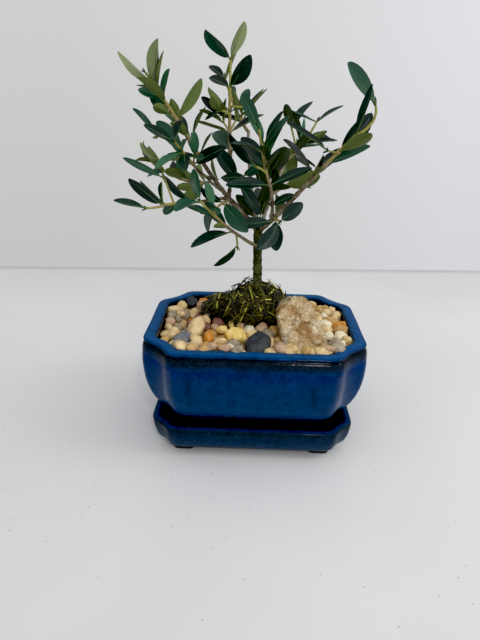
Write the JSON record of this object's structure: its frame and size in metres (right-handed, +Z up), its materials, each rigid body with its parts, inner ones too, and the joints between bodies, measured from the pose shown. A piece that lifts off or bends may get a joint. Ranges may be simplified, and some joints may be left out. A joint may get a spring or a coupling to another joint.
{
  "type": "olive bonsai",
  "caption": "Small olive tree grown as a bonsai, with narrow leaves on forking boughs, gravel, moss and a rock, in a blue glazed pot with notched corners on a drip tray.",
  "frame": {"origin": "on the ground, under the middle of the whole plant's width and depth", "axes": "+Z up, +Y away from the front of the pot, +X to the right as the front is seen; the pot's long sides run along X"},
  "size_m": [0.1697, 0.1192, 0.2825],
  "materials": {
    "glaze": "cobalt blue glaze that breaks to brown on the edges",
    "soil": "dark, moist potting soil",
    "gravel": "washed cream and ochre pebbles",
    "stone": "rough crystalline rock",
    "moss": "dark strands of moss",
    "bark": "thin grey-brown bark",
    "foliage": "leathery leaves, glossy above and pale below"
  },
  "bodies": {
    "root": {"pot": "glaze", "drip_tray": "glaze", "soil": "soil", "gravel": "gravel", "stone": "stone", "moss": "moss", "trunk": "bark", "bough_left": "bark", "bough_right": "bark", "bough_leader": "bark", "bough_back": "bark", "bough_front": "bark", "bough_back_right": "bark", "bough_back_left": "bark", "bough_low_left": "bark", "bough_side_left": "bark", "bough_second_left": "bark", "leaves_left": "foliage", "leaves_leader": "foliage", "leaves_back": "foliage", "leaves_right": "foliage", "leaves_front": "foliage", "leaves_back_right": "foliage", "leaves_low_left": "foliage", "leaves_side_left": "foliage", "leaves_second_left": "foliage", "leaves_back_left": "foliage", "leaves_inner": "foliage", "leaves_fork": "foliage", "leaves_under_left": "foliage", "leaves_inner_right": "foliage", "leaves_inner_left": "foliage"}
  },
  "joints": []
}
